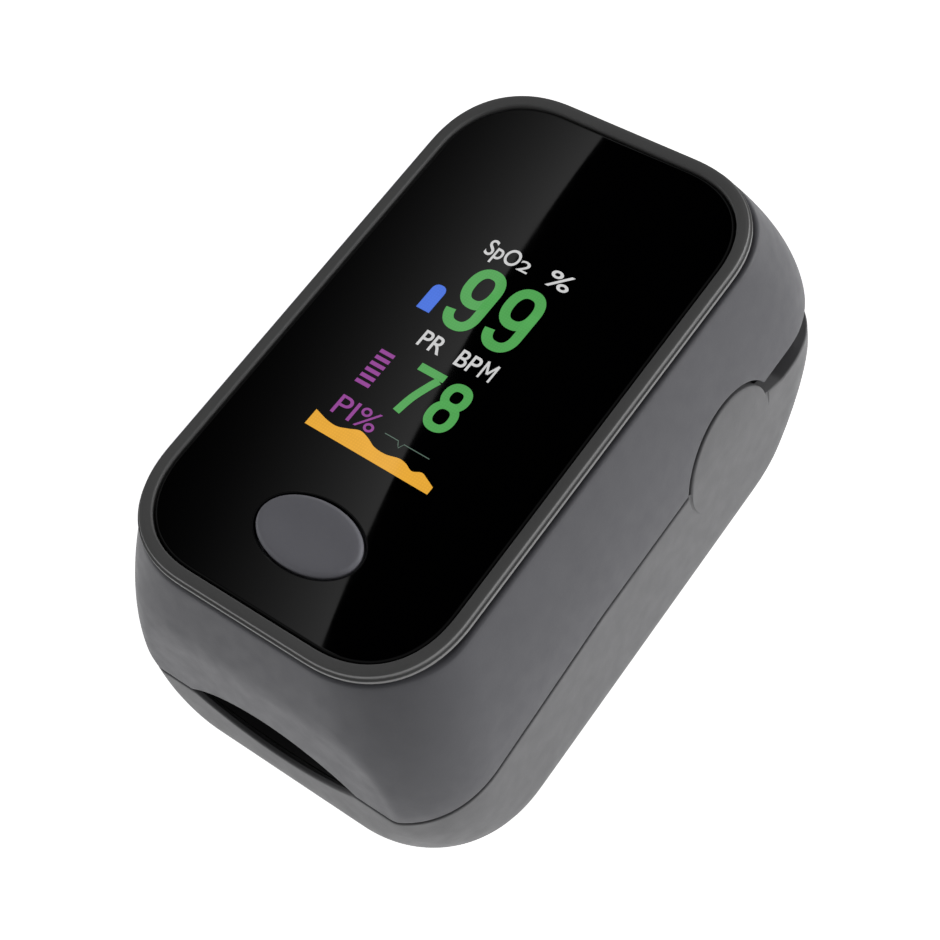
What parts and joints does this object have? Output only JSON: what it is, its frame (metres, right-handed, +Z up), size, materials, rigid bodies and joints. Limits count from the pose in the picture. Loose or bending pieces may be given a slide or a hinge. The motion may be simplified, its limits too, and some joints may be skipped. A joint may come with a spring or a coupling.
{
  "type": "fingertip pulse oximeter",
  "caption": "Fingertip pulse oximeter: two hinged plastic halves clamp a finger between silicone pads under a glossy window with a readout and an oval button.",
  "frame": {"origin": "centre of the footprint, on the surface the closed oximeter rests on", "axes": "+Z up through the window, -Y out of the finger mouth, +Y towards the hinged rear end, +X to the right seen from the mouth"},
  "size_m": [0.036, 0.0622, 0.0313],
  "materials": {
    "upper_plastic": "fine-textured bluish grey ABS",
    "lower_plastic": "fine-textured mid grey ABS",
    "bezel_plastic": "satin dark grey",
    "window_acrylic": "polished black-backed acrylic",
    "button_plastic": "satin grey",
    "adhesive": "black foam adhesive",
    "inner_plastic": "dark grey moulded ABS",
    "silicone": "matt black silicone",
    "black_plastic": "moulded black",
    "display_glass": "display glass",
    "ribbon_film": "amber polyimide film",
    "board": "green solder mask",
    "clear_resin": "clear resin",
    "cell_jacket": "plain printed sleeve",
    "contact_metal": "plated spring brass",
    "steel": "bright zinc-plated steel"
  },
  "bodies": {
    "lower": {"lower_shell": "lower_plastic", "lower_inner_frame": "inner_plastic", "lower_finger_pad": "silicone", "detector_board": "board", "photodiode": "black_plastic", "detector_window": "clear_resin", "hinge_pin_right": "steel", "hinge_pin_left": "steel", "torsion_spring_right": "steel", "torsion_spring_left": "steel", "cell_right": "cell_jacket", "cell_left": "cell_jacket", "front_contact_plate": "contact_metal", "front_contact_leaf": "contact_metal", "rear_contact_bridge": "contact_metal", "cell_spring": "steel", "sensor_ribbon": "ribbon_film", "lower_screw_1": "steel", "lower_screw_2": "steel", "lower_screw_3": "steel", "lower_screw_4": "steel"},
    "upper": {"upper_shell": "upper_plastic", "bezel_ring": "bezel_plastic", "window_gasket": "adhesive", "window_lens": "window_acrylic", "lens_adhesive": "adhesive", "display_module": "display_glass", "display_frame": "inner_plastic", "display_ribbon": "ribbon_film", "main_board": "board", "ribbon_socket": "black_plastic", "processor_chip": "black_plastic", "amplifier_chip": "black_plastic", "boost_inductor": "black_plastic", "clock_crystal": "steel", "switch_body": "black_plastic", "upper_inner_frame": "inner_plastic", "upper_finger_pad": "silicone", "emitter_board": "board", "led_emitter": "clear_resin", "emitter_window": "clear_resin", "upper_screw_1": "steel", "upper_screw_2": "steel", "upper_screw_3": "steel", "upper_screw_4": "steel", "board_screw_1": "steel", "board_screw_2": "steel"},
    "button": {"power_button": "button_plastic"},
    "plunger": {"switch_plunger": "black_plastic"},
    "door": {"battery_door": "lower_plastic"}
  },
  "joints": [
    {"name": "jaw_hinge", "type": "hinge", "parent": "lower", "child": "upper", "pos_m": [0, 0.0125, 0.0146], "axis": [-1, 0, 0], "range_deg": [0, 12], "stiffness_Nm_per_rad": 0.25, "springref_deg": -17.19, "deforming": ["torsion_spring_right", "torsion_spring_left", "sensor_ribbon"]},
    {"name": "button_press", "type": "slide", "parent": "upper", "child": "button", "axis": [0, 0, -1], "range_m": [0, 0.0004], "stiffness_N_per_m": 2500, "springref_m": -0.0002},
    {"name": "plunger_press", "type": "slide", "parent": "upper", "child": "plunger", "axis": [0, 0, -1], "range_m": [0, 0.0004]},
    {"name": "door_slide", "type": "slide", "parent": "lower", "child": "door", "axis": [0, 1, 0], "range_m": [0, 0.04]}
  ],
  "couplings": [
    {"joint": "plunger_press", "follows": "button_press", "ratio": 1}
  ]
}
